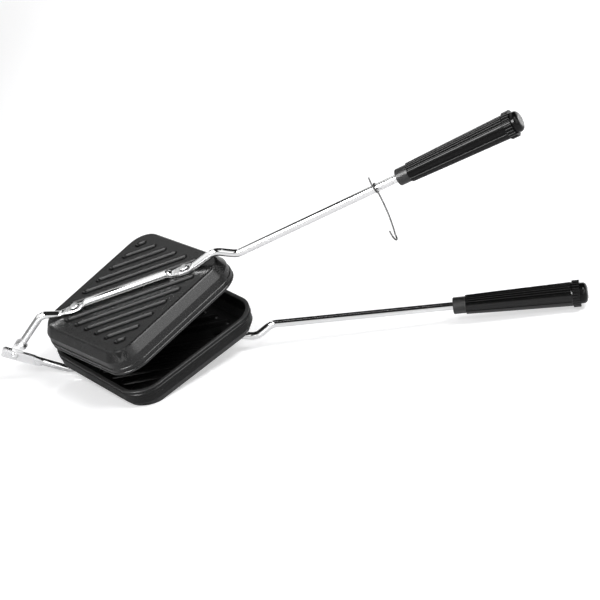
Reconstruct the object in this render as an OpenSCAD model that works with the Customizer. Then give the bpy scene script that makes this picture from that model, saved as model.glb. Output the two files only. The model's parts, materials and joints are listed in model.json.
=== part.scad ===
// Long-handled toasting iron: two ribbed square pans on hinged rod arms.
// Millimetres, +Z up. The lower pan's rim is level, +X runs from the hinge to the grips.
// The lower half is the fixed one. The upper half is drawn opened by open_deg.

/* [Pans] */
// Outer side of the square pan, at its rim
pan_side = 125; // [110:1:150]
// Corner radius of the rim
pan_corner_r = 22; // [20:0.5:28]
// Depth of one pan, from the rim to its outer face
pan_depth = 19.5; // [18:0.5:24]
// Wall of the casting
pan_wall = 2.4; // [1.8:0.1:3]
// Height of the flange, from the rim to the sloping wall
flange_h = 12; // [10.5:0.25:13]
// Slope of the wall above the flange, from upright
wall_lean = 32; // [20:1:42]
// Radius of the shoulder between sloping wall and face
shoulder_r = 3; // [2.6:0.1:4]
// Height of the bead's upper edge above the rim
bead_h = 6; // [5.2:0.1:7]
// Height of the lip below the bead's groove
lip_h = 2; // [1.6:0.1:2.6]
// How far bead and lip stand out from the flange
bead_out = 0.7; // [0.5:0.05:1]
// Gap between the two rims when the iron is shut
rim_gap = 0.2; // [0.1:0.05:0.5]

/* [Pressed ribs] */
// Spacing of the ribs across the diagonal
rib_pitch = 10.3; // [9.5:0.1:12]
// Ribs on each side of the arm
rib_count = 6; // [3:1:6]
// Width of a rib's channel at the outer face
rib_w = 6; // [4.5:0.1:6.6]
// Depth of a rib's channel
rib_d = 2.3; // [1.6:0.1:2.6]
// How far a channel's edge is broken back on each side
rib_break = 0.6; // [0.3:0.05:0.9]
// Metal left under a channel
rib_wall = 1.8; // [1.2:0.1:2.4]
// From the rim's edge to the ribs' rounded ends
rib_edge = 15.2; // [14.5:0.1:18]

/* [Arms] */
// Diameter of the round rod
rod_d = 6; // [5:0.1:7]
// Radius of the knee's bend, at the rod's centreline
knee_r = 9; // [7:0.5:11]
// Radius of the bends at hump and heel
bend_r = 11; // [8:0.5:12]
// Radius of the soft bend next to a pad
dip_r = 16; // [10:1:20]
// From the hinge pin to the middle of the pan
hinge_x = 115; // [112:1:130]
// From the middle of the pan back to the arm's knee
knee_x = 77; // [74:0.5:80]
// Height of the knee's rod above the rim plane
knee_z = 25.4; // [25:0.2:34]
// From the middle of the pan to each of its rivets
rivet_x = 48.2; // [42:0.2:49]
// Air between the rod and the pan's face
rod_air = 0.4; // [0.2:0.1:1]
// From a rivet to its pad's end on the hinge side
pad_back = 13; // [11:0.5:14]
// From a rivet to its pad's end on the handle side
pad_fore = 7.6; // [6.5:0.1:9]
// Width of the flattened pad
pad_w = 9.6; // [8.5:0.1:11]
// Thickness of the flattened pad
pad_t = 3.2; // [2.6:0.1:3.8]
// From the middle of the pan to the hump past its corner
hump_x = 76.8; // [74:0.2:82]
// How far the hump rises above the rod on the pan
hump_rise = 5; // [2:0.1:8]
// From the hump to the heel of the handle stretch
heel_run = 15.2; // [14:0.2:18]
// How far the heel lies below the hump
heel_drop = 8.6; // [5:0.1:10]
// Slope of the handle stretch away from the rim plane
splay_deg = 6.4; // [2:0.2:9]
// Bare rod from the heel to the ferrule
bare_l = 141.5; // [110:0.5:180]

/* [Hinge] */
// How far the upper half stands open in this drawing
open_deg = 9; // [0:0.5:50]
// Diameter of the hinge pin
pin_d = 4; // [3:0.1:4.6]
// Radial clearance of the pin in the upper arm's eye
pin_gap = 0.06; // [0.03:0.01:0.1]
// Gap between the two flattened arm ends
eye_gap = 0.2; // [0.1:0.05:0.4]
// Thickness of each flattened arm end
eye_t = 2.6; // [2:0.1:2.8]
// Half height of the lower arm's hinge plate
plate_h = 4.4; // [4:0.1:5]
// From the pin to the plate's far end, the stop
plate_back = 10.5; // [9:0.1:10.8]
// From the pin to where the plate starts to narrow
plate_front = 14; // [12:0.5:17]
// Length over which the plate narrows to the rod
plate_taper = 9; // [7:0.5:12]
// Corner radius at the plate's far end
plate_corner = 2.5; // [1.5:0.1:3.5]
// From the pin to the upper arm's collar
collar_at = 9.8; // [9.6:0.1:11]
// Length of the upper arm's collar
collar_l = 4.5; // [3:0.1:6]
// Radius of the upper arm's collar
collar_r = 4.75; // [4.2:0.05:5.2]
// Radius of the hinge pin's heads
pin_head_r = 3; // [2.8:0.1:3.6]
// Height of the hinge pin's heads
pin_head_h = 1.2; // [0.8:0.1:1.8]

/* [Pan rivets] */
// Diameter of a rivet's shank
rivet_d = 4; // [3:0.1:4.4]
// Radial clearance around a rivet's shank
rivet_gap = 0.05; // [0.02:0.01:0.1]
// Radius of a rivet's domed head
rivet_head_r = 3.9; // [3.2:0.1:4.3]
// Height of a rivet's domed head
rivet_head_h = 2.4; // [1.8:0.1:3]
// Thickness of the flat head inside the pan
rivet_foot_h = 0.9; // [0.6:0.1:1.4]

/* [Grips] */
// Length of the smooth ferrule
ferrule_l = 9.8; // [7:0.2:13]
// Radius of the ferrule
ferrule_r = 6.5; // [6:0.1:7]
// Length of the fluted body
body_l = 81.3; // [70:0.1:110]
// Radius of the body next to the ferrule
body_r1 = 7.5; // [7.2:0.1:8.6]
// Radius of the body next to the band
body_r2 = 9.2; // [8.8:0.1:9.8]
// Length of the ribbed band
band_l = 5.6; // [5:0.1:10]
// Radius of the ribbed band
band_r = 10.3; // [10:0.1:12]
// Radius of the fine flutes
flute_r = 0.9; // [0.6:0.05:1.1]
// Depth of the fine flutes
flute_d = 0.6; // [0.3:0.05:0.8]
// Notches round the band
notch_count = 28; // [16:1:32]
// Radius of a notch
notch_r = 0.8; // [0.5:0.05:1]
// Radial clearance of the rod in the grip
grip_gap = 0.1; // [0.05:0.01:0.2]
// Radius of the pocket for the nut and the cap's spigot
pocket_r = 6.2; // [6:0.1:6.8]
// Depth of that pocket
pocket_l = 12; // [11:0.5:16]
// Height of the nut
nut_h = 5; // [4:0.5:5.5]
// Width of the nut across its flats
nut_af = 10; // [9:0.5:10.4]
// Rod left past the nut
rod_past = 1.4; // [0.5:0.1:1.6]

/* [End caps] */
// Length of the end cap's head
cap_l = 5.4; // [5:0.1:10]
// Radius of the end cap's head
cap_r = 8; // [7.6:0.1:9.4]
// Rounding of the cap's outer edge
cap_round = 3; // [1:0.1:3.2]
// Length of the cap's spigot in the pocket
spigot_l = 4; // [3:0.1:4.5]
// Radial clearance of the spigot in the pocket
spigot_gap = 0.1; // [0.05:0.01:0.2]
// Radius of the end plug
plug_r = 4.8; // [4:0.1:5]
// Depth of the plug's seat in the cap
plug_seat = 1.6; // [1:0.1:2.4]
// How far the plug stands out of the cap
plug_out = 0.4; // [0.2:0.1:1]
// Radial clearance of the plug in its seat
plug_gap = 0.05; // [0.02:0.01:0.1]

/* [Wire clip] */
// Diameter of the clip's wire
wire_d = 1.2; // [1:0.1:2]
// Clearance between the clip's ring and the rod
clip_gap = 0.1; // [0.05:0.01:0.1]
// From the ferrule back to the clip's ring
clip_back = 19; // [14:0.5:40]
// From the upper rod's axis down to the clip's hook
clip_reach = 38; // [30:0.5:60]
// How far the clip is drawn swung round the rod
clip_turn = 36; // [0:1:60]
// Bow of the clip's leg
clip_bow = 16; // [6:1:24]
// Length of the clip's stub above the rod
clip_stub = 9; // [6:0.5:12]
// Length of the hook's turned-up tip
clip_tip = 4; // [2:0.5:8]

/* [Hidden] */

rod_r = rod_d / 2;
// A bend is a hair thicker than the straights, which lap a little way into it
bend_swell = 0.02;
bend_lap = 0.3;
half = pan_side / 2;
// Heights above the rim plane, in the upper half's own frame while shut
face_z = pan_depth;
floor_z = pan_depth - pan_wall;
rod_z = face_z + rod_air + rod_r;
pad_top = face_z + pad_t;
// The arm's centreline, as [x, z] points
heel = [hump_x + heel_run, rod_z + hump_rise - heel_drop];
handle_dir = [cos(splay_deg), sin(splay_deg)];
grip_l = body_l + band_l;
rod_out = bare_l + ferrule_l + grip_l - pocket_l + nut_h + rod_past;
// The rod is pressed flat on the pan at its pads, so its stretches there run lower
pad_mid = face_z + pad_t / 2;
leg_path = [
  [-hinge_x, 0],
  [-knee_x, knee_z],
  [-rivet_x - pad_back, pad_mid],
  [-rivet_x, pad_mid]
];
handle_path = [
  [rivet_x, pad_mid],
  [rivet_x + pad_fore, pad_mid],
  [hump_x, rod_z + hump_rise],
  heel,
  heel + rod_out * handle_dir
];
leg_deg = atan2(knee_z, hinge_x - knee_x);
tang_l = plate_front + plate_taper;
// Where the model stands: middle of its box in X, lowest point in Z
plate_x = (plate_back - plate_corner) * cos(leg_deg) + (plate_h - plate_corner) * sin(leg_deg);
x_low = -hinge_x - plate_x - plate_corner;
tip_at = bare_l + ferrule_l + grip_l + cap_l + plug_out;
x_high = heel[0] + tip_at * cos(splay_deg) + (plug_r - plug_gap) * sin(splay_deg);
band_at = bare_l + ferrule_l + grip_l;
z_low = -heel[1] - band_at * sin(splay_deg) - band_r * cos(splay_deg);
// The channel of a rib is part of a round bar lying along the face
bar_r = (rib_w * rib_w / 4 + rib_d * rib_d) / (2 * rib_d);
bar_z = face_z + bar_r - rib_d;
break_half = rib_w / 2 + rib_break;
break_deep = rib_d * 0.6;
break_r = (break_half * break_half + break_deep * break_deep) / (2 * break_deep);
break_z = face_z + break_r - break_deep;
wire_r = wire_d / 2;
ring_r = rod_r + clip_gap + wire_r;
coil_step = wire_d * 0.75;

black = [0.16, 0.17, 0.17];
steel = [0.8, 0.81, 0.82];
plastic = [0.05, 0.05, 0.055];

// Frames ---------------------------------------------------------------

module stand() {
  translate([-(x_low + x_high) / 2, 0, -z_low])
    children();
}

module lower_half() {
  stand()
    rotate([180, 0, 0])
      children();
}

module upper_half() {
  stand()
    translate([-hinge_x, 0, 0])
      rotate([0, -open_deg, 0])
        translate([hinge_x, 0, 0])
          children();
}

// Along the handle stretch, from a point that lies d from the heel
module on_handle(d) {
  translate([heel[0], 0, heel[1]])
    rotate([0, -splay_deg, 0])
      translate([d, 0, 0])
        children();
}

// From the hinge pin along the arm's leg
module on_leg() {
  translate([-hinge_x, 0, 0])
    rotate([0, -leg_deg, 0])
      children();
}

// A bar along X
module bar(r, l, n = 48) {
  rotate([0, 90, 0])
    cylinder(r = r, h = l, $fn = n);
}

// A bar across, along Y, from y0 to y1
module cross_bar(r, y0, y1, n = 32) {
  translate([0, y1, 0])
    rotate([90, 0, 0])
      cylinder(r = r, h = y1 - y0, $fn = n);
}

// Pans -----------------------------------------------------------------

function arc(c, r, a0, a1, n) = [for (i = [0:n]) c + r * [cos(a0 + (a1 - a0) * i / n), sin(a0 + (a1 - a0) * i / n)]];

// Section through the pan's edge: x from the corner's centre outwards, y from the rim up
flange_x = pan_corner_r - bead_out;
wall_foot = [flange_x - 0.3, flange_h + 0.3];
wall_run = (face_z - shoulder_r * (1 - sin(wall_lean)) - wall_foot[1]) / cos(wall_lean);
shoulder_x = wall_foot[0] - wall_run * sin(wall_lean) - shoulder_r * cos(wall_lean);

module edge_section() {
  w = pan_corner_r;
  flat = shoulder_x - 2.4;
  centre = [shoulder_x, face_z - shoulder_r];
  inner = flange_x - pan_wall;
  inner_foot = wall_foot[1] - pan_wall * sin(wall_lean);
  polygon(concat(
    [[w - 0.4, rim_gap / 2], [w, rim_gap / 2 + 0.4], [w, lip_h - 0.2]],
    [[w - 0.5, lip_h + 0.2], [w - 0.5, lip_h + 0.9], [w, lip_h + 1.4]],
    [[w, bead_h - 0.4], [w - 0.4, bead_h], [flange_x, bead_h + 0.1]],
    [[flange_x, flange_h - 0.2], wall_foot],
    arc(centre, shoulder_r, wall_lean, 90, 5),
    [[flat, face_z], [flat, floor_z]],
    arc(centre, shoulder_r - pan_wall, 90, wall_lean, 2),
    [[inner, inner_foot], [inner, rim_gap / 2 + 0.5], [inner + 0.5, rim_gap / 2]]
  ));
}

module pan_edge() {
  for (a = [0:90:270])
    rotate([0, 0, a]) {
      translate([half - pan_corner_r, half - pan_corner_r, 0])
        rotate_extrude(angle = 90, $fn = 48)
          edge_section();
      translate([half - pan_corner_r, half - pan_corner_r, 0])
        rotate([90, 0, 0])
          linear_extrude(height = 2 * (half - pan_corner_r))
            edge_section();
    }
}

// The face inside the shoulder, lapped into the edge's flat
module pan_face() {
  lap = shoulder_x - 1;
  c = half - pan_corner_r;
  translate([0, 0, floor_z])
    linear_extrude(height = pan_wall)
      polygon(concat(
        arc([c, c], lap, 0, 90, 4),
        arc([-c, c], lap, 90, 180, 4),
        arc([-c, -c], lap, 180, 270, 4),
        arc([c, -c], lap, 270, 360, 4)
      ));
}

// A round bar with domed ends, l long between the domes' centres
module round_ended(r, l) {
  rotate([0, 90, 0])
    rotate_extrude($fn = 20)
      polygon(concat(
        [for (i = [0:4]) [r * sin(22.5 * i), -l / 2 - r * cos(22.5 * i)]],
        [for (i = [0:4]) [r * cos(22.5 * i), l / 2 + r * sin(22.5 * i)]]
      ));
}

// Every rib's bar, r in radius, with its axis at height z
module rib_bars(r, z) {
  for (side = [-1, 1])
    for (k = [1:rib_count])
      if (run(k) > 0)
        translate([0, side * k * rib_pitch, z])
          round_ended(r, 2 * run(k));
}

// Half length of a rib, between its domes' centres
function run(k) = sqrt(2) * (half - rib_edge) - k * rib_pitch - rib_w / 2;

module pan() {
  difference() {
    union() {
      rotate([0, 0, 45])
        pan_edge();
      rotate([0, 0, 45])
        pan_face();
      intersection() {
        rib_bars(bar_r + rib_wall, bar_z);
        translate([-half * 2, -half * 2, 0])
          cube([half * 4, half * 4, floor_z + pan_wall / 2]);
      }
    }
    rib_bars(bar_r, bar_z);
    rib_bars(break_r, break_z);
    for (s = [-1, 1])
      translate([s * rivet_x, 0, floor_z - 2])
        cylinder(r = rivet_d / 2 + rivet_gap, h = pan_wall + 4, $fn = 32);
  }
}

module lower_pan() {
  color(black)
    lower_half()
      pan();
}

module upper_pan() {
  color(black)
    upper_half()
      pan();
}

// Arms -----------------------------------------------------------------

function turn(a, b) = atan2(a[0] * b[1] - a[1] * b[0], a * b);
function unit(v) = v / norm(v);
function cut_back(p, i, r) = r * tan(abs(turn(p[i] - p[i - 1], p[i + 1] - p[i])) / 2);

module rod_straight(a, b) {
  translate([a[0], 0, a[1]])
    rotate([0, 90 - atan2(b[1] - a[1], b[0] - a[0]), 0])
      cylinder(r = rod_r, h = norm(b - a), $fn = 24);
}

module rod_bend(p, i, r) {
  d = unit(p[i] - p[i - 1]);
  t = turn(p[i] - p[i - 1], p[i + 1] - p[i]);
  s = t > 0 ? 1 : -1;
  start = p[i] - d * cut_back(p, i, r);
  centre = start + s * r * [-d[1], d[0]];
  a0 = atan2(start[1] - centre[1], start[0] - centre[0]);
  translate([centre[0], 0, centre[1]])
    rotate([90, 0, 0])
      rotate([0, 0, min(a0, a0 + t)])
        rotate_extrude(angle = abs(t), $fn = 72)
          translate([r, 0])
            circle(r = rod_r + bend_swell, $fn = 24);
}

// A bent rod along p, starting root from its first point; r[i] is the bend's radius at point i
module rod(p, r, root) {
  n = len(p) - 1;
  for (i = [0:n - 1]) {
    d = unit(p[i + 1] - p[i]);
    rod_straight(
      p[i] + d * (i == 0 ? root : cut_back(p, i, r[i]) - bend_lap),
      p[i + 1] - d * (i == n - 1 ? 0 : cut_back(p, i + 1, r[i + 1]) - bend_lap)
    );
  }
  for (i = [1:n - 1])
    rod_bend(p, i, r[i]);
}

// What the press takes off the rods above a pad
module pad_relief() {
  up = rod_r + 1;
  translate([0, pad_w, pad_top])
    rotate([90, 0, 0])
      linear_extrude(height = 2 * pad_w)
        polygon([[3.5 - pad_back, 0], [pad_fore - 3, 0], [pad_fore - 3 + up, up], [3.5 - pad_back - up, up]]);
}

// The pad: round on the handle side, drawn out towards the hinge
module pad() {
  w = pad_w / 2;
  translate([0, 0, face_z])
    linear_extrude(height = pad_t)
      polygon(concat(
        arc([pad_fore - w, 0], w, -90, 90, 12),
        arc([-3, 0], w, 90, 110, 2),
        [[-pad_back, rod_r * 0.9], [-pad_back, -rod_r * 0.9]],
        arc([-3, 0], w, 250, 270, 2)
      ));
}

module arm_body(root) {
  difference() {
    union() {
      difference() {
        union() {
          rod(leg_path, [0, knee_r, dip_r], root);
          rod(handle_path, [0, dip_r, bend_r, bend_r], 0);
          rod_straight([-rivet_x, rod_z], [rivet_x, rod_z]);
        }
        for (s = [-1, 1])
          translate([s * rivet_x, 0, 0])
            pad_relief();
        translate([-rivet_x - 22, -rod_d, face_z - rod_d])
          cube([2 * rivet_x + 44, 2 * rod_d, rod_d]);
      }
      for (s = [-1, 1])
        translate([s * rivet_x, 0, 0])
          pad();
    }
    for (s = [-1, 1])
      translate([s * rivet_x, 0, face_z - 2])
        cylinder(r = rivet_d / 2 + rivet_gap, h = pad_t + 4, $fn = 32);
  }
}

// Flat end of the lower arm: a plate with a heel behind the pin, which is the stop
module hinge_plate() {
  c = plate_corner;
  translate([0, eye_gap / 2 + eye_t, 0])
    rotate([90, 0, 0])
      linear_extrude(height = eye_t)
        polygon(concat(
          arc([c - plate_back, plate_h - c], c, 90, 180, 5),
          arc([c - plate_back, c - plate_h], c, 180, 270, 5),
          [[plate_front, -plate_h], [tang_l, -rod_r * 0.9]],
          [[tang_l, rod_r * 0.9], [plate_front, plate_h]]
        ));
}

// The round rod runs out into the plate on a slope
module tang_relief() {
  translate([0, 0, -rod_d])
    linear_extrude(height = 2 * rod_d)
      polygon([
        [0, -rod_d], [tang_l - 1, -rod_d], [plate_front, -eye_gap / 2],
        [plate_front - 2, eye_gap / 2 + eye_t], [plate_front - 2, rod_d], [0, rod_d]
      ]);
}

module lower_arm() {
  color(steel)
    lower_half()
      difference() {
        union() {
          difference() {
            arm_body(plate_front - 2);
            on_leg()
              tang_relief();
          }
          on_leg()
            hinge_plate();
        }
        on_leg()
          cross_bar(pin_d / 2 + rivet_gap, -rod_d, rod_d);
      }
}

// Flat end of the upper arm: a round eye below a turned collar
module hinge_eye() {
  translate([0, eye_gap / 2 + eye_t, 0])
    rotate([90, 0, 0])
      linear_extrude(height = eye_t)
        polygon(concat(
          arc([0, 0], plate_h, 90, 270, 14),
          [[collar_at + 0.5, -plate_h], [collar_at + 0.5, plate_h]]
        ));
  translate([collar_at, 0, 0])
    rotate([0, 90, 0])
      rotate_extrude($fn = 32)
        polygon([
          [0, 0], [collar_r - 0.5, 0], [collar_r, 0.5],
          [collar_r, collar_l - 1.5], [rod_r + 0.3, collar_l], [0, collar_l]
        ]);
}

module upper_arm() {
  color(steel)
    upper_half()
      difference() {
        union() {
          arm_body(collar_at + collar_l - 0.5);
          on_leg()
            hinge_eye();
        }
        on_leg()
          cross_bar(pin_d / 2 + pin_gap, -rod_d, rod_d);
      }
}

// Hinge pin and rivets ---------------------------------------------------

// A low domed head with its flat face at z = 0
module dome(r, h) {
  ball = (r * r + h * h) / (2 * h);
  edge = asin(r / ball);
  rotate_extrude($fn = 32)
    polygon(concat(
      [[0, 0]],
      [for (i = [5:-1:0]) [ball * sin(edge * i / 5), h - ball + ball * cos(edge * i / 5)]]
    ));
}

module hinge_pin() {
  side = eye_gap / 2 + eye_t;
  color(steel)
    stand()
      translate([-hinge_x, 0, 0]) {
        cross_bar(pin_d / 2, -side, side + eye_gap / 2);
        translate([0, side + eye_gap / 2, 0])
          rotate([-90, 0, 0])
            dome(pin_head_r, pin_head_h);
        translate([0, -side, 0])
          rotate([90, 0, 0])
            dome(pin_head_r, pin_head_h);
      }
}

module pan_rivet(s) {
  translate([s * rivet_x, 0, 0]) {
    translate([0, 0, floor_z - rivet_foot_h])
      cylinder(r = rivet_head_r - 0.6, h = rivet_foot_h, $fn = 32);
    translate([0, 0, floor_z])
      cylinder(r = rivet_d / 2, h = pan_wall + pad_t, $fn = 32);
    translate([0, 0, pad_top])
      dome(rivet_head_r, rivet_head_h);
  }
}

module lower_rivet_hinge_end() {
  color(steel)
    lower_half()
      pan_rivet(-1);
}

module lower_rivet_handle_end() {
  color(steel)
    lower_half()
      pan_rivet(1);
}

module upper_rivet_hinge_end() {
  color(steel)
    upper_half()
      pan_rivet(-1);
}

module upper_rivet_handle_end() {
  color(steel)
    upper_half()
      pan_rivet(1);
}

// Grips ------------------------------------------------------------------

module ferrule() {
  on_handle(bare_l)
    difference() {
      union() {
        rotate([0, 90, 0])
          cylinder(r1 = ferrule_r - 0.5, r2 = ferrule_r, h = 0.5, $fn = 48);
        translate([0.5, 0, 0])
          bar(ferrule_r, ferrule_l - 0.5);
      }
      translate([-1, 0, 0])
        bar(rod_r + grip_gap, ferrule_l + 2, 24);
    }
}

module lower_ferrule() {
  color(plastic)
    lower_half()
      ferrule();
}

module upper_ferrule() {
  color(plastic)
    upper_half()
      ferrule();
}

// A flute along the tapered body, at angle a round it
module flute(a) {
  lean = atan2(body_r2 - body_r1, body_l);
  rotate([a, 0, 0])
    translate([0, 0, body_r1 + flute_r - flute_d])
      rotate([0, -lean, 0])
        translate([-2, 0, 0])
          bar(flute_r, body_l + 1, 16);
}

// Four broad lands in pairs, with fine flutes between the pairs
flute_angles = [
  -45, -33, -21, -9, 3, 15, 27, 39,
  90,
  135, 147, 159, 171, 183, 195, 207, 219,
  270
];

module grip() {
  on_handle(bare_l + ferrule_l)
    difference() {
      union() {
        difference() {
          rotate([0, 90, 0])
            cylinder(r1 = body_r1, r2 = body_r2, h = body_l, $fn = 48);
          for (a = flute_angles)
            flute(a + 3);
        }
        difference() {
          translate([body_l, 0, 0])
            bar(band_r, band_l);
          for (i = [0:notch_count - 1])
            rotate([(i + 0.5) * 360 / notch_count, 0, 0])
              translate([body_l - 1, 0, band_r + notch_r * 0.3])
                bar(notch_r, band_l + 2, 16);
        }
      }
      translate([-1, 0, 0])
        bar(rod_r + grip_gap, grip_l + 2, 24);
      translate([grip_l - pocket_l, 0, 0])
        bar(pocket_r, pocket_l + 1, 32);
    }
}

module lower_grip() {
  color(plastic)
    lower_half()
      grip();
}

module upper_grip() {
  color(plastic)
    upper_half()
      grip();
}

module grip_nut() {
  on_handle(bare_l + ferrule_l + grip_l - pocket_l)
    difference() {
      rotate([0, 90, 0])
        cylinder(r = nut_af / sqrt(3), h = nut_h, $fn = 6);
      translate([-1, 0, 0])
        bar(rod_r + rivet_gap, nut_h + 2, 24);
    }
}

module lower_grip_nut() {
  color(steel)
    lower_half()
      grip_nut();
}

module upper_grip_nut() {
  color(steel)
    upper_half()
      grip_nut();
}

module end_cap() {
  on_handle(bare_l + ferrule_l + grip_l)
    rotate([0, 90, 0])
      rotate_extrude($fn = 48)
        polygon(concat(
          [[0, -spigot_l], [pocket_r - spigot_gap, -spigot_l], [pocket_r - spigot_gap, 0], [cap_r, 0]],
          arc([cap_r - cap_round, cap_l - cap_round], cap_round, 0, 90, 5),
          [[plug_r, cap_l], [plug_r, cap_l - plug_seat], [0, cap_l - plug_seat]]
        ));
}

module lower_end_cap() {
  color(plastic)
    lower_half()
      end_cap();
}

module upper_end_cap() {
  color(plastic)
    upper_half()
      end_cap();
}

module end_plug() {
  r = plug_r - plug_gap;
  h = plug_seat + plug_out;
  on_handle(bare_l + ferrule_l + grip_l + cap_l - plug_seat)
    rotate([0, 90, 0])
      rotate_extrude($fn = 40)
        polygon([[0, 0], [r, 0], [r, h - 0.3], [r - 0.3, h], [0, h]]);
}

module lower_end_plug() {
  color([0.6, 0.6, 0.6])
    lower_half()
      end_plug();
}

module upper_end_plug() {
  color([0.6, 0.6, 0.6])
    upper_half()
      end_plug();
}

// Wire clip --------------------------------------------------------------

// A ring round the rod, with a stub up and a bowed leg down that ends in a hook
module wire_clip() {
  bow_r = clip_reach / 2 / sin(clip_bow / 2);
  color(steel)
    upper_half()
      on_handle(bare_l - clip_back)
        rotate([-clip_turn, 0, 0]) {
          rotate([0, 90, 0])
            rotate_extrude($fn = 32)
              translate([ring_r, 0])
                circle(r = wire_r, $fn = 16);
          translate([-coil_step, -ring_r, 0])
            cylinder(r = wire_r, h = clip_stub, $fn = 16);
          translate([coil_step - bow_r * cos(clip_bow / 2), -ring_r, -clip_reach / 2])
            rotate([90, 0, 0])
              rotate([0, 0, -clip_bow / 2])
                rotate_extrude(angle = clip_bow, $fn = 96)
                  translate([bow_r, 0])
                    circle(r = wire_r, $fn = 16);
          translate([coil_step, -2 * ring_r, -clip_reach])
            rotate([0, -clip_bow / 2, 0]) {
              rotate([0, 90, 0])
                rotate([0, 0, -90])
                  rotate_extrude(angle = 180, $fn = 32)
                    translate([ring_r, 0])
                      circle(r = wire_r + bend_swell, $fn = 16);
              translate([0, -ring_r, -bend_lap])
                cylinder(r = wire_r, h = clip_tip + bend_lap, $fn = 16);
            }
        }
}

lower_pan();
upper_pan();
lower_arm();
upper_arm();
hinge_pin();
lower_rivet_hinge_end();
lower_rivet_handle_end();
upper_rivet_hinge_end();
upper_rivet_handle_end();
lower_ferrule();
upper_ferrule();
lower_grip();
upper_grip();
lower_grip_nut();
upper_grip_nut();
lower_end_cap();
upper_end_cap();
lower_end_plug();
upper_end_plug();
wire_clip();
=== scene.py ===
import json
import math

import bpy
from mathutils import Matrix, Vector

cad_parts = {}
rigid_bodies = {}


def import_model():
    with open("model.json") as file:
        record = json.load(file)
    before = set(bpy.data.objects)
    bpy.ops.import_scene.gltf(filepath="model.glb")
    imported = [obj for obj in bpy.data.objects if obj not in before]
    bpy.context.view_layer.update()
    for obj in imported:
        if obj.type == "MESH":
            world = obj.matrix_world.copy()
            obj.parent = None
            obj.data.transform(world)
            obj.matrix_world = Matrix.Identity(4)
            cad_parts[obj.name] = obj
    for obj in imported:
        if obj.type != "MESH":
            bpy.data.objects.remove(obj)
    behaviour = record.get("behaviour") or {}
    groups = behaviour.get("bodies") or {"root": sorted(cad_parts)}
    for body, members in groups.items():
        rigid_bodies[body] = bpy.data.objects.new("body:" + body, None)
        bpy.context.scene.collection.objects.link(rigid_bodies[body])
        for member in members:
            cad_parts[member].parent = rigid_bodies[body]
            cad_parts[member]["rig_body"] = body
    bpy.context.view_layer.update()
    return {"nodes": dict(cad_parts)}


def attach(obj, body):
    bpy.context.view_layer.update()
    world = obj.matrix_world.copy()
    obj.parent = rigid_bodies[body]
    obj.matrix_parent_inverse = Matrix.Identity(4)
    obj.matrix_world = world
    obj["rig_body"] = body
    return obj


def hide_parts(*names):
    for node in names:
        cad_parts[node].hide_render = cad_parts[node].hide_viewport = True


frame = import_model()
scene = bpy.context.scene
nodes = frame["nodes"]

MM = 0.001
# Where the iron's own frame (pan middle, rim plane) lies in the row frame
SHIFT = Vector((-0.104901, 0.0, 0.056088))
HINGE_X = 115 * MM      # from the pan's middle to the hinge
OPEN_DEG = 9.0          # opening at rest
# In mm, in a half iron's own frame
PAN_HALF = 62.5
FACE_Z = 19.5
RIVET_X = 48.2


# Camera ---------------------------------------------------------------------

def set_camera(azimuth, elevation, roll, distance, aim, lens):
    """Camera that looks at aim, with azimuth from the front, elevation and roll in degrees."""
    a, e, r = (math.radians(v) for v in (azimuth, elevation, roll))
    back = Vector((math.sin(a) * math.cos(e), -math.cos(a) * math.cos(e), math.sin(e)))
    level = Vector((math.cos(a), math.sin(a), 0.0))
    upright = back.cross(level)
    right = math.cos(r) * level + math.sin(r) * upright
    up = back.cross(right)
    data = bpy.data.cameras.new("photo_camera")
    data.lens = lens
    data.sensor_width = 36.0
    data.clip_start = 0.05
    data.clip_end = 30.0
    cam = bpy.data.objects.new("photo_camera", data)
    scene.collection.objects.link(cam)
    turn = Matrix((right, up, back)).transposed().to_4x4()
    cam.matrix_world = Matrix.Translation(aim + back * distance) @ turn
    scene.camera = cam


set_camera(16.18, 34.36, -20.39, 1.75136, SHIFT + Vector((0.11994, 0.0, -0.00215)), 137.07)
scene.view_settings.view_transform = "Standard"


# Shader helpers ---------------------------------------------------------------

def new_material(name):
    """A material with one Principled shader wired to its output."""
    m = bpy.data.materials.new(name)
    m.use_nodes = True
    m.node_tree.nodes.clear()
    out = m.node_tree.nodes.new("ShaderNodeOutputMaterial")
    bsdf = m.node_tree.nodes.new("ShaderNodeBsdfPrincipled")
    m.node_tree.links.new(bsdf.outputs[0], out.inputs[0])
    return m, m.node_tree, bsdf


def add_node(tree, kind, **values):
    """A node with its properties or its inputs set."""
    n = tree.nodes.new(kind)
    for key, value in values.items():
        if hasattr(n, key):
            setattr(n, key, value)
        else:
            n.inputs[key.replace("_", " ")].default_value = value
    return n


def wire(tree, a, b):
    tree.links.new(a, b)


def math_node(tree, operation, a, b, c=None):
    n = tree.nodes.new("ShaderNodeMath")
    n.operation = operation
    for socket, value in zip(n.inputs, (a, b, c)):
        if value is None:
            continue
        if isinstance(value, (int, float)):
            socket.default_value = value
        else:
            wire(tree, value, socket)
    return n.outputs[0]


def ease(tree, value, start, end):
    """0 at start, 1 at end, smooth between."""
    n = tree.nodes.new("ShaderNodeMapRange")
    n.interpolation_type = "SMOOTHSTEP"
    wire(tree, value, n.inputs["Value"])
    n.inputs["From Min"].default_value = start
    n.inputs["From Max"].default_value = end
    return n.outputs["Result"]


def mask_and(tree, *parts):
    """The product of masks."""
    out = parts[0]
    for part in parts[1:]:
        out = math_node(tree, "MULTIPLY", out, part)
    return out


def blend_value(tree, mask, low, high):
    """low where the mask is 0, high where it is 1."""
    n = tree.nodes.new("ShaderNodeMix")
    n.data_type = "FLOAT"
    wire(tree, mask, n.inputs[0])
    for socket, value in zip((n.inputs[2], n.inputs[3]), (low, high)):
        if isinstance(value, (int, float)):
            socket.default_value = value
        else:
            wire(tree, value, socket)
    return n.outputs[0]


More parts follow.
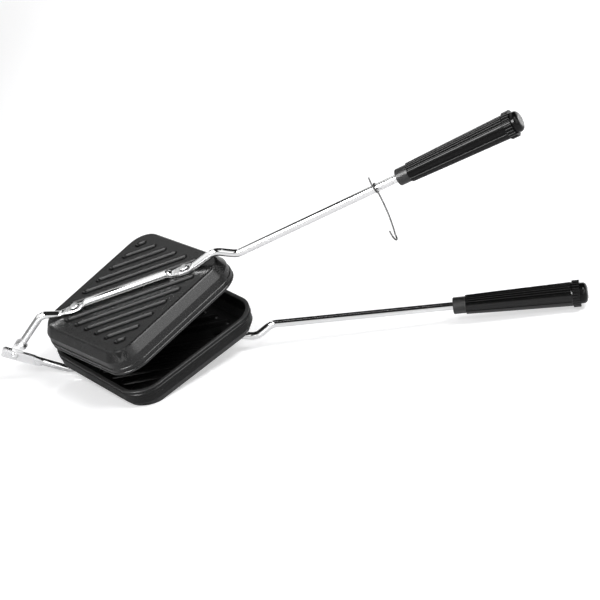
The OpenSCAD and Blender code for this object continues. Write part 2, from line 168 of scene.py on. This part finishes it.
def blend_colour(tree, mask, low, high):
    """The same for colours."""
    n = tree.nodes.new("ShaderNodeMix")
    n.data_type = "RGBA"
    wire(tree, mask, n.inputs[0])
    for socket, value in zip((n.inputs[6], n.inputs[7]), (low, high)):
        if isinstance(value, tuple):
            socket.default_value = (*value, 1.0)
        else:
            wire(tree, value, socket)
    return n.outputs[2]


def make_grain_group():
    """Fine mottling: the noise itself, and a value that wanders with it between Low and High."""
    group = bpy.data.node_groups.new("fine_grain", "ShaderNodeTree")
    group.interface.new_socket("Vector", in_out="INPUT", socket_type="NodeSocketVector")
    for name in ("Scale", "Low", "High"):
        group.interface.new_socket(name, in_out="INPUT", socket_type="NodeSocketFloat")
    for name in ("Mottle", "Value"):
        group.interface.new_socket(name, in_out="OUTPUT", socket_type="NodeSocketFloat")
    given = group.nodes.new("NodeGroupInput")
    result = group.nodes.new("NodeGroupOutput")
    noise = add_node(group, "ShaderNodeTexNoise", Detail=2.0, Roughness=0.55)
    wire(group, given.outputs["Vector"], noise.inputs["Vector"])
    wire(group, given.outputs["Scale"], noise.inputs["Scale"])
    between = group.nodes.new("ShaderNodeMapRange")
    wire(group, noise.outputs[0], between.inputs["Value"])
    between.inputs["From Min"].default_value = 0.3
    between.inputs["From Max"].default_value = 0.7
    wire(group, given.outputs["Low"], between.inputs["To Min"])
    wire(group, given.outputs["High"], between.inputs["To Max"])
    wire(group, noise.outputs[0], result.inputs["Mottle"])
    wire(group, between.outputs["Result"], result.inputs["Value"])
    return group


FINE_GRAIN = make_grain_group()


def grain(tree, where, scale, low, high):
    """The fine-grain group placed with its own values; gives its Value and its Mottle."""
    n = tree.nodes.new("ShaderNodeGroup")
    n.node_tree = FINE_GRAIN
    wire(tree, where, n.inputs["Vector"])
    n.inputs["Scale"].default_value = scale
    n.inputs["Low"].default_value = low
    n.inputs["High"].default_value = high
    return n.outputs["Value"], n.outputs["Mottle"]


def own_coordinates(tree, half):
    """The object's coordinates, and the same place in the half iron's own frame, in mm:

    x from the pan's middle, z up from its rim.
    """
    where = add_node(tree, "ShaderNodeTexCoord").outputs["Object"]
    hinge = SHIFT + Vector((-HINGE_X, 0, 0))
    off = add_node(tree, "ShaderNodeVectorMath", operation="SUBTRACT")
    wire(tree, where, off.inputs[0])
    off.inputs[1].default_value = hinge
    spin = add_node(tree, "ShaderNodeVectorRotate", rotation_type="Y_AXIS")
    wire(tree, off.outputs[0], spin.inputs["Vector"])
    spin.inputs["Angle"].default_value = math.radians(OPEN_DEG) if half == "upper" else math.pi
    flip = -1.0 if half == "lower" else 1.0    # with the half turn, only z is flipped
    scale = add_node(tree, "ShaderNodeVectorMath", operation="MULTIPLY")
    wire(tree, spin.outputs[0], scale.inputs[0])
    scale.inputs[1].default_value = (1000 * flip, 1000, 1000)
    back = add_node(tree, "ShaderNodeVectorMath", operation="SUBTRACT")
    wire(tree, scale.outputs[0], back.inputs[0])
    back.inputs[1].default_value = (HINGE_X / MM, 0, 0)
    return where, back.outputs[0]


# Coating ----------------------------------------------------------------------

SPECK_SCALE = 1100.0    # fine speckle of the coating
CLOUD_SCALE = 22.0      # slow change of its gloss


def coating_material(half):
    """Black coating: satin outside; in the channels painted shade (a darker colour) and a thinner
    coat; a little worn at the rim.
    """
    m, t, b = new_material("black_coating_" + half)
    where, own = own_coordinates(t, half)
    turned = add_node(t, "ShaderNodeVectorRotate", rotation_type="Z_AXIS")
    turned.inputs["Angle"].default_value = math.radians(45)
    wire(t, own, turned.inputs["Vector"])
    split = add_node(t, "ShaderNodeSeparateXYZ")
    wire(t, turned.outputs[0], split.inputs[0])
    across = math_node(t, "ABSOLUTE", split.outputs[0], 0)
    along = math_node(t, "ABSOLUTE", split.outputs[1], 0)
    reach = math_node(t, "MAXIMUM", across, along)
    height = split.outputs[2]
    hollow = mask_and(t, ease(t, reach, PAN_HALF - 7.0, PAN_HALF - 8.0),
                      ease(t, height, FACE_Z - 0.15, FACE_Z - 1.0))
    rim = ease(t, height, 1.6, 0.4)
    satin, speck = grain(t, where, SPECK_SCALE, 0.005, 0.011)
    # painted shade: the channels get a darker colour that stands for the shade in the recesses
    inside, _ = grain(t, where, SPECK_SCALE, 0.002, 0.006)
    colour = blend_colour(t, hollow, satin, inside)
    worn = blend_colour(t, math_node(t, "MULTIPLY", rim, 0.5), colour, (0.06, 0.06, 0.06))
    wire(t, worn, b.inputs["Base Color"])
    wire(t, grain(t, where, CLOUD_SCALE, 0.42, 0.5)[0], b.inputs["Roughness"])
    b.inputs["Specular IOR Level"].default_value = 0.04
    wire(t, blend_value(t, hollow, 0.62 if half == "upper" else 0.30, 0.10), b.inputs["Coat Weight"])
    b.inputs["Coat Roughness"].default_value = 0.26
    b.inputs["Coat IOR"].default_value = 1.55
    bump = add_node(t, "ShaderNodeBump", Strength=0.05, Distance=0.0002)
    wire(t, speck, bump.inputs["Height"])
    wire(t, bump.outputs[0], b.inputs["Normal"])
    return m


# Chrome -----------------------------------------------------------------------

CHROME_SCALE = 60.0     # haze of the chrome


def chrome_material(half):
    """Bright chrome, brushed at the pads and on the hinge plate."""
    m, t, b = new_material("chromed_rod_" + half)
    where, own = own_coordinates(t, half)
    split = add_node(t, "ShaderNodeSeparateXYZ")
    wire(t, own, split.inputs[0])
    x, _, z = split.outputs
    off_rivet = math_node(t, "SUBTRACT", math_node(t, "ABSOLUTE", x, 0), RIVET_X)
    from_rivet = math_node(t, "ABSOLUTE", off_rivet, 0)
    pad = mask_and(t, ease(t, from_rivet, 12.0, 7.0), ease(t, z, FACE_Z + 4.2, FACE_Z + 3.4))
    plate = ease(t, x, -98.0, -102.0)
    satin = math_node(t, "MAXIMUM", pad, plate)
    bright, _ = grain(t, where, CHROME_SCALE, 0.02, 0.045)
    brushed, _ = grain(t, where, CHROME_SCALE, 0.24, 0.34)
    wire(t, blend_value(t, satin, bright, brushed), b.inputs["Roughness"])
    wire(t, grain(t, where, CHROME_SCALE, 0.90, 0.95)[0], b.inputs["Base Color"])
    b.inputs["Metallic"].default_value = 1.0
    return m


STEEL_SCALE = 500.0
PLASTIC_SCALE = 700.0
# scale of the wobble of the painted shade around a rivet's foot
SEAM_SHADE_SCALE = 420.0
SEAM_Z = 23.35          # where a rivet's head meets its pad, mm


def steel_material(name, tone, rough_low, rough_high):
    m, t, b = new_material(name)
    where = add_node(t, "ShaderNodeTexCoord").outputs["Object"]
    wire(t, grain(t, where, STEEL_SCALE, rough_low, rough_high)[0], b.inputs["Roughness"])
    wire(t, grain(t, where, STEEL_SCALE, tone * 0.92, tone)[0], b.inputs["Base Color"])
    b.inputs["Metallic"].default_value = 1.0
    return m


def plastic_material(name, dark, pale, rough_low, rough_high, gloss):
    m, t, b = new_material(name)
    where = add_node(t, "ShaderNodeTexCoord").outputs["Object"]
    shade, fine = grain(t, where, PLASTIC_SCALE, dark, pale)
    wire(t, shade, b.inputs["Base Color"])
    wire(t, grain(t, where, PLASTIC_SCALE, rough_low, rough_high)[0], b.inputs["Roughness"])
    b.inputs["Specular IOR Level"].default_value = gloss
    bump = add_node(t, "ShaderNodeBump", Strength=0.06, Distance=0.0001)
    wire(t, fine, bump.inputs["Height"])
    wire(t, bump.outputs[0], b.inputs["Normal"])
    return m


def rivet_material(half):
    """Bright dome with painted shade, near black, around its foot where it meets the pad."""
    m, t, b = new_material("rivet_" + half)
    where, own = own_coordinates(t, half)
    split = add_node(t, "ShaderNodeSeparateXYZ")
    wire(t, own, split.inputs[0])
    bright, haze = grain(t, where, SEAM_SHADE_SCALE, 0.90, 0.95)
    foot = math_node(t, "MULTIPLY_ADD", haze, 0.5, SEAM_Z)
    # painted shade: near-black colour around the head's foot stands for the shadow and dark
    # reflection at its edge
    painted_seam_shade = ease(t, math_node(t, "SUBTRACT", split.outputs[2], foot), 0.25, -0.1)
    wire(t, blend_colour(t, painted_seam_shade, bright, (0.01, 0.01, 0.01)), b.inputs["Base Color"])
    wire(t, blend_value(t, painted_seam_shade, 0.34, 0.5), b.inputs["Roughness"])
    b.inputs["Metallic"].default_value = 1.0
    return m


rivet_steel = steel_material("rivet_steel", 0.90, 0.10, 0.16)
nut_steel = steel_material("nut_steel", 0.7, 0.25, 0.35)
clip_steel = steel_material("clip_wire", 0.10, 0.34, 0.42)
grip_black = plastic_material("grip_black", 0.002, 0.004, 0.12, 0.17, gloss=0.15)
grip_black_lower = plastic_material("grip_black_lower", 0.002, 0.004, 0.10, 0.15, gloss=0.45)
ferrule_black = plastic_material("ferrule_black", 0.006, 0.012, 0.36, 0.42, gloss=0.6)
cap_black = plastic_material("cap_black", 0.002, 0.004, 0.12, 0.18, gloss=0.2)
plug_grey = plastic_material("plug_grey", 0.22, 0.27, 0.35, 0.45, gloss=0.5)

finish = {
    "hinge_pin": rivet_steel,
    "lower_grip_nut": nut_steel, "upper_grip_nut": nut_steel,
    "wire_clip": clip_steel,
}
for half in ("lower", "upper"):
    finish[half + "_pan"] = coating_material(half)
    finish[half + "_arm"] = chrome_material(half)
    finish[half + "_rivet_hinge_end"] = finish[half + "_rivet_handle_end"] = rivet_material(half)
    finish[half + "_ferrule"] = ferrule_black
    finish[half + "_grip"] = grip_black if half == "upper" else grip_black_lower
    finish[half + "_end_cap"] = cap_black
    finish[half + "_end_plug"] = plug_grey
for name, material in finish.items():
    o = nodes[name]
    o.data.materials.clear()
    o.data.materials.append(material)


# Finer pieces -------------------------------------------------------------------

def tidy_copy(node, name):
    """A welded copy of a CAD node, with its flat faces joined, that replaces the node."""
    bpy.ops.object.select_all(action="DESELECT")
    source = nodes[node]
    o = source.copy()
    o.data = source.data.copy()
    o.name = name
    o.parent = None
    for key in list(o.keys()):
        del o[key]
    scene.collection.objects.link(o)
    o.matrix_world = Matrix.Identity(4)
    o.select_set(True)
    bpy.context.view_layer.objects.active = o
    bpy.ops.mesh.customdata_custom_splitnormals_clear()
    bpy.ops.object.mode_set(mode="EDIT")
    bpy.ops.mesh.select_all(action="SELECT")
    bpy.ops.mesh.remove_doubles(threshold=0.00001)
    bpy.ops.mesh.dissolve_limited(angle_limit=math.radians(0.3))
    bpy.ops.object.mode_set(mode="OBJECT")
    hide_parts(node)
    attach(o, source["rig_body"])
    return o


def round_edges(o, width, steps, sharp):
    """Bevel of the edges sharper than an angle in degrees, with even shading on the faces."""
    bevel = o.modifiers.new("round", "BEVEL")
    bevel.width = width
    bevel.segments = steps
    bevel.limit_method = "ANGLE"
    bevel.angle_limit = math.radians(sharp)
    bevel.use_clamp_overlap = True
    bevel.miter_outer = "MITER_ARC"
    bpy.ops.object.modifier_apply(modifier="round")
    bpy.ops.object.shade_smooth_by_angle(angle=math.radians(40))
    weigh = o.modifiers.new("weigh", "WEIGHTED_NORMAL")
    weigh.keep_sharp = True
    weigh.weight = 50
    bpy.ops.object.modifier_apply(modifier="weigh")


# The arm's bent line in its half's own frame, in mm, seen from the side (x, z)
ROD_R = 3.0
KNEE = Vector((-77.0, 25.4))
LEG = KNEE - Vector((-115.0, 0.0))
LEG_CUT = Vector((-115.0, 0.0)) + LEG.normalized() * 27.0
ROD_Z = 22.9
PAD_MID, PAD_TOP, PAD_BASE = 21.1, 22.7, 19.5
PAD_BACK, PAD_FORE, PAD_HALF_W = 13.0, 7.6, 4.8
HEEL = Vector((92.0, 19.3))
SPLAY = math.radians(6.4)
ROD_OUT = 232.6
PRESS_RISE = 3.4        # from a pad's top to the rod's top, and a little beyond
PRESSED_X = 70          # the press reaches this far from the pan's middle
THINNING = 0.42         # share of its height that the rod loses at a pad
BEND_STEPS = 10
NEAR_PAD, PAD_STEP = 16, 0.8
# Points of the bent line, each with the radius of its bend
BENDS = [
    (LEG_CUT, 0),
    (KNEE, 9),
    (Vector((-RIVET_X - PAD_BACK - 1.0, PAD_MID)), 6),
    (Vector((-RIVET_X + PAD_FORE - 3.0, PAD_MID)), 5),
    (Vector((-RIVET_X + PAD_FORE + 2.0, ROD_Z)), 5),
    (Vector((RIVET_X - PAD_BACK - 2.0, ROD_Z)), 3),
    (Vector((RIVET_X - PAD_BACK + 1.0, PAD_MID)), 3),
    (Vector((RIVET_X + PAD_FORE, PAD_MID)), 16),
    (Vector((76.8, ROD_Z + 5.0)), 11),
    (HEEL, 11),
    (HEEL + Vector((math.cos(SPLAY), math.sin(SPLAY))) * ROD_OUT, 0),
]


def half_place(half):
    """From a half's own frame to the row frame."""
    if half == "lower":
        return Matrix.Translation(SHIFT) @ Matrix.Rotation(math.pi, 4, "X")
    to_hinge = Matrix.Translation(Vector((-HINGE_X, 0, 0)))
    swing = Matrix.Rotation(-math.radians(OPEN_DEG), 4, "Y")
    return Matrix.Translation(SHIFT) @ to_hinge @ swing @ to_hinge.inverted()


def rod_stations():
    """Places along the bent line with the rod's slope there, closer together at the pads."""
    out = []
    for i, (point, radius) in enumerate(BENDS):
        if not radius:
            other = BENDS[1][0] if i == 0 else BENDS[i - 1][0]
            run = (other - point) if i == 0 else (point - other)
            out.append((point, math.atan2(run.y, run.x)))
            continue
        before = (point - BENDS[i - 1][0]).normalized()
        after = (BENDS[i + 1][0] - point).normalized()
        a0, a1 = math.atan2(before.y, before.x), math.atan2(after.y, after.x)
        back = radius * math.tan(abs(a1 - a0) / 2)
        side = 1 if a1 > a0 else -1
        start = point - before * back
        centre = start + side * radius * Vector((-before.y, before.x))
        for k in range(BEND_STEPS + 1):
            a = a0 + (a1 - a0) * k / BEND_STEPS
            out.append((centre - side * radius * Vector((-math.sin(a), math.cos(a))), a))
    fine = [out[0]]
    for place, slope in out[1:]:
        last, last_slope = fine[-1]
        gap = (place - last).length
        if abs(abs((place + last).x / 2) - RIVET_X) < NEAR_PAD and gap > PAD_STEP:
            n = math.ceil(gap / PAD_STEP)
            for k in range(1, n):
                fine.append((last.lerp(place, k / n), last_slope + (slope - last_slope) * k / n))
        fine.append((place, slope))
    return fine


def smooth_step(value, start, end):
    t = min(max((value - start) / (end - start), 0.0), 1.0)
    return t * t * (3 - 2 * t)


def pad_half_width(x):
    """Half the rod's width at x: it widens to a round-ended pad at each rivet."""
    for s in (-1, 1):
        u = x - s * RIVET_X
        if -PAD_BACK <= u <= PAD_FORE + 1:
            fore = PAD_FORE - PAD_HALF_W
            if u > fore:
                inside = 1 - min((u - fore) / PAD_HALF_W, 1.0) ** 2
                return max(PAD_HALF_W * math.sqrt(inside), ROD_R)
            return ROD_R + (PAD_HALF_W - ROD_R) * smooth_step(u, -PAD_BACK, -3.0)
    return ROD_R


def pad_height(x):
    """Share of the rod's height left at x: it thins down before and behind the hinge-end pad."""
    u = x + RIVET_X
    if u < 0:
        return 1.0 - THINNING * smooth_step(u, -26.0, -PAD_BACK)
    return 1.0 - THINNING * smooth_step(u, PAD_FORE + 4.0, PAD_FORE) if u < 40 else 1.0


def press_top(x):
    """How high the rod may stand at x: the press flattens it at each pad."""
    for s in (-1, 1):
        u = x - s * RIVET_X
        if -PAD_BACK - 1.0 < u < PAD_FORE + 3.0:
            back = -PAD_BACK if s > 0 else -PAD_BACK - 1.0
            rise = max(smooth_step(u, back + 2.0, back - 1.0), smooth_step(u, 4.4, PAD_FORE + 3.0))
            return PAD_TOP + PRESS_RISE * rise
    return math.inf


def sweep_rod(name):
    """A ring of the rod, drawn out along the bent line, widened and pressed flat at the pads."""
    bpy.ops.object.select_all(action="DESELECT")
    stations = rod_stations()
    place, slope = stations[0]
    bpy.ops.mesh.primitive_circle_add(
        vertices=24, radius=ROD_R, fill_type="NOTHING",
        location=(place.x, 0, place.y), rotation=(0, math.pi / 2 - slope, 0))
    rod = bpy.context.object
    rod.name = name
    bpy.ops.object.transform_apply(location=True, rotation=True, scale=True)
    bpy.ops.object.mode_set(mode="EDIT")
    bpy.ops.mesh.select_all(action="SELECT")
    wide = high = 1.0
    for (last, last_slope), (place, slope) in zip(stations, stations[1:]):
        middle = (place.x, 0, place.y)
        step = (place.x - last.x, 0, place.y - last.y)
        bpy.ops.mesh.extrude_region_move(TRANSFORM_OT_translate={"value": step})
        bpy.ops.transform.rotate(value=slope - last_slope, orient_axis="Y", center_override=middle)
        new_wide, new_high = pad_half_width(place.x) / ROD_R, pad_height(place.x)
        bpy.ops.transform.resize(value=(1, new_wide / wide, new_high / high), center_override=middle)
        wide, high = new_wide, new_high
    bpy.ops.mesh.edge_face_add()
    bpy.ops.object.mode_set(mode="OBJECT")
    for v in rod.data.vertices:
        if abs(v.co.x) < PRESSED_X:
            v.co.z = max(min(v.co.z, press_top(v.co.x)), PAD_BASE + 0.01)
    return rod


def own_from_row(half):
    """From the row frame, in metres, to the half's own frame, in mm."""
    return Matrix.Scale(1 / MM, 4) @ half_place(half).inverted()


def make_arm(half):
    """The hinge end of the arm as it is forged, and from the leg on one smooth swept rod."""
    name = half + "_arm_rod"
    end = tidy_copy(half + "_arm", name)
    to_own = own_from_row(half)
    end.data.transform(to_own)
    bpy.ops.object.mode_set(mode="EDIT")
    bpy.ops.mesh.select_all(action="SELECT")
    bpy.ops.mesh.bisect(plane_co=(LEG_CUT.x, 0, LEG_CUT.y), plane_no=(LEG.x, 0, LEG.y),
                        clear_outer=True)
    bpy.ops.object.mode_set(mode="OBJECT")
    rod = sweep_rod(half + "_arm_sweep")
    bpy.ops.object.select_all(action="DESELECT")
    rod.data.materials.append(finish[half + "_arm"])
    rod.select_set(True)
    end.select_set(True)
    bpy.context.view_layer.objects.active = end
    bpy.ops.object.join()
    bpy.ops.object.mode_set(mode="EDIT")
    bpy.ops.mesh.select_all(action="SELECT")
    bpy.ops.mesh.remove_doubles(threshold=0.02)
    bpy.ops.mesh.normals_make_consistent(inside=False)
    bpy.ops.object.mode_set(mode="OBJECT")
    end.data.transform(to_own.inverted())
    bpy.ops.object.shade_smooth_by_angle(angle=math.radians(38))


HEAD_R, HEAD_H = 3.9, 2.0


def make_rivet(half, where_on):
    """A rivet with a flatter head that falls off steeply at its edge."""
    rivet = tidy_copy(half + "_rivet_" + where_on, half + "_rivet_domed_" + where_on)
    to_own = own_from_row(half)
    rivet.data.transform(to_own)
    axis_x = RIVET_X if where_on == "handle_end" else -RIVET_X
    for v in rivet.data.vertices:
        if v.co.z > PAD_TOP + 0.02:
            share = min(math.hypot(v.co.x - axis_x, v.co.y) / HEAD_R, 1.0)
            v.co.z = PAD_TOP + HEAD_H * math.sqrt(1 - share ** 4)
    rivet.data.transform(to_own.inverted())
    bpy.ops.object.shade_smooth_by_angle(angle=math.radians(50))


for half in ("lower", "upper"):
    for where_on in ("hinge_end", "handle_end"):
        make_rivet(half, where_on)
    pan = tidy_copy(half + "_pan", half + "_pan_coated")
    round_edges(pan, width=0.5 * MM, steps=2, sharp=30)
    make_arm(half)
    grip = tidy_copy(half + "_grip", half + "_grip_fluted")
    round_edges(grip, width=0.14 * MM, steps=2, sharp=20)


# Floor, world and lamps ---------------------------------------------------------

# The iron rests on its knee, its grip's band and the shoulder of the pan's near corner
FLOOR_NORMAL = Vector((0.0734, 0.226, 0.971)).normalized()
FLOOR_POINT = SHIFT + Vector((-0.077, 0.0, -0.0287))


def make_floor():
    """A pale round floor that keeps the shadow and isn't seen from below."""
    bpy.ops.object.select_all(action="DESELECT")
    bpy.ops.mesh.primitive_circle_add(vertices=96, radius=1.6, fill_type="NGON")
    floor = bpy.context.object
    floor.name = "floor"
    turn = Vector((0, 0, 1)).rotation_difference(FLOOR_NORMAL).to_matrix().to_4x4()
    along = 0.1
    middle = FLOOR_POINT + Vector((along, 0, 0)) - FLOOR_NORMAL * FLOOR_NORMAL.x * along
    floor.matrix_world = Matrix.Translation(middle) @ turn
    m = bpy.data.materials.new("pale_floor")
    m.use_nodes = True
    t = m.node_tree
    t.nodes.clear()
    out = t.nodes.new("ShaderNodeOutputMaterial")
    b = t.nodes.new("ShaderNodeBsdfPrincipled")
    b.inputs["Base Color"].default_value = (0.80, 0.80, 0.81, 1)
    b.inputs["Roughness"].default_value = 0.12
    b.inputs["Specular IOR Level"].default_value = 0.35
    rays = t.nodes.new("ShaderNodeLightPath")
    glow = t.nodes.new("ShaderNodeEmission")
    glow.inputs[0].default_value = (1, 1, 1, 1)
    lift = t.nodes.new("ShaderNodeMath")
    lift.operation = "MULTIPLY"
    lift.inputs[1].default_value = 0.5
    wire(t, rays.outputs["Is Camera Ray"], lift.inputs[0])
    wire(t, lift.outputs[0], glow.inputs[1])
    add = t.nodes.new("ShaderNodeAddShader")
    wire(t, b.outputs[0], add.inputs[0])
    wire(t, glow.outputs[0], add.inputs[1])
    clear = t.nodes.new("ShaderNodeBsdfTransparent")
    geometry = t.nodes.new("ShaderNodeNewGeometry")
    side = t.nodes.new("ShaderNodeMixShader")
    wire(t, geometry.outputs["Backfacing"], side.inputs[0])
    wire(t, add.outputs[0], side.inputs[1])
    wire(t, clear.outputs[0], side.inputs[2])
    wire(t, side.outputs[0], out.inputs[0])
    floor.data.materials.append(m)


# What gloss sees of the lamps: direction, core and edge in degrees, strength
GLOSS_LAMPS = [
    ((0.50, -0.02, 0.86), 7, 15, 15.0),
    ((0.73, -0.34, 0.60), 8, 26, 3.6),
    ((-0.44, -0.56, 0.70), 10, 15, 26.0),
    ((0.42, -0.70, 0.58), 8, 28, 1.6),
]
# Strength of the pale walls in the gloss, and of its darkest part
BACK_WALL, FRONT_WALL, RIGHT_FRONT, FLOORWARD, DARKEST = 1.4, 0.7, 0.8, 0.8, 0.02
SEAM = (0.818, 0.237, 0.535)    # across the dark line between the halves of the room
FILL = 0.4


def make_world():
    """White to the camera, an even fill to the rest, and soft lamps and walls to the gloss."""
    world = bpy.data.worlds.new("studio")
    scene.world = world
    world.use_nodes = True
    t = world.node_tree
    t.nodes.clear()
    out = t.nodes.new("ShaderNodeOutputWorld")
    rays = t.nodes.new("ShaderNodeLightPath")
    seen = t.nodes.new("ShaderNodeBackground")
    seen.inputs[0].default_value = (1, 1, 1, 1)
    seen.inputs[1].default_value = 1.0
    fill = t.nodes.new("ShaderNodeBackground")
    fill.inputs[0].default_value = (1, 1, 1, 1)
    fill.inputs[1].default_value = FILL
    mirror = t.nodes.new("ShaderNodeBackground")
    where = t.nodes.new("ShaderNodeTexCoord")
    split = t.nodes.new("ShaderNodeSeparateXYZ")
    wire(t, where.outputs["Generated"], split.inputs[0])
    x, y, z = split.outputs
    ahead = ease(t, y, -0.05, -0.25)
    hinge_side = ease(t, math_node(t, "MULTIPLY_ADD", ahead, -0.08, x), -0.26, -0.36)
    low = math_node(t, "MULTIPLY_ADD", ease(t, y, 0.5, 0.2), 0.24, 0.04)
    level = blend_value(t, ease(t, z, 0.22, 0.42), low, 1.0)
    seam = math_node(t, "ADD", math_node(t, "MULTIPLY", x, SEAM[0]),
                     math_node(t, "MULTIPLY", y, SEAM[1]))
    seam = math_node(t, "ABSOLUTE", math_node(t, "MULTIPLY_ADD", z, SEAM[2], seam), 0)
    hinge_side = math_node(t, "MULTIPLY", hinge_side, level)
    back_wall = mask_and(t, ease(t, y, 0.30, 0.55), ease(t, z, 0.17, 0.09))
    back_wall = mask_and(t, back_wall, ease(t, x, -0.62, -0.50))
    front_wall = mask_and(t, ease(t, y, -0.30, -0.50), ease(t, z, 0.57, 0.48))
    floorward = ease(t, z, 0.02, -0.02)
    right_front = mask_and(t, ahead, ease(t, x, -0.03, 0.10), ease(t, z, 0.0, 0.1))
    white = hinge_side
    for wall, strength in ((back_wall, BACK_WALL), (floorward, FLOORWARD),
                           (front_wall, FRONT_WALL), (right_front, RIGHT_FRONT)):
        white = math_node(t, "MAXIMUM", white, math_node(t, "MULTIPLY", wall, strength))
    white = math_node(t, "MAXIMUM", white, DARKEST)
    for direction, core, edge, strength in GLOSS_LAMPS:
        aim = Vector(direction).normalized()
        near = t.nodes.new("ShaderNodeVectorMath")
        near.operation = "DOT_PRODUCT"
        wire(t, where.outputs["Generated"], near.inputs[0])
        near.inputs[1].default_value = aim
        disc = ease(t, near.outputs["Value"],
                    math.cos(math.radians(edge)), math.cos(math.radians(core)))
        white = math_node(t, "MAXIMUM", white, math_node(t, "MULTIPLY", disc, strength))
    below = ease(t, z, 0.05, 0.0)    # 1 below the horizon
    beside_seam = math_node(t, "MAXIMUM", below, ease(t, seam, 0.025, 0.055))
    white = math_node(t, "MULTIPLY", white, beside_seam)
    wire(t, white, mirror.inputs[0])
    mirror.inputs[1].default_value = 1.0
    pick = t.nodes.new("ShaderNodeMixShader")
    wire(t, rays.outputs["Is Glossy Ray"], pick.inputs[0])
    wire(t, fill.outputs[0], pick.inputs[1])
    wire(t, mirror.outputs[0], pick.inputs[2])
    last = t.nodes.new("ShaderNodeMixShader")
    wire(t, rays.outputs["Is Camera Ray"], last.inputs[0])
    wire(t, pick.outputs[0], last.inputs[1])
    wire(t, seen.outputs[0], last.inputs[2])
    wire(t, last.outputs[0], out.inputs[0])


def soft_box(name, place, aim, size, power):
    """A square lamp that gloss doesn't show."""
    data = bpy.data.lights.new(name, "AREA")
    data.shape = "RECTANGLE"
    data.size = data.size_y = size
    data.energy = power
    lamp = bpy.data.objects.new(name, data)
    scene.collection.objects.link(lamp)
    lamp.visible_glossy = False
    turn = (aim - place).to_track_quat("-Z", "Y").to_matrix().to_4x4()
    lamp.matrix_world = Matrix.Translation(place) @ turn


make_floor()
make_world()
IRON_MIDDLE = Vector((-0.08, 0.0, 0.06))


def lamp_towards(name, direction, distance, size, power):
    place = IRON_MIDDLE + Vector(direction).normalized() * distance
    soft_box(name, place, IRON_MIDDLE, size, power)


lamp_towards("right_top", (0.60, -0.18, 0.78), 1.7, 0.5, 16)
lamp_towards("front_top", (0.12, -0.62, 0.775), 1.7, 0.3, 9)
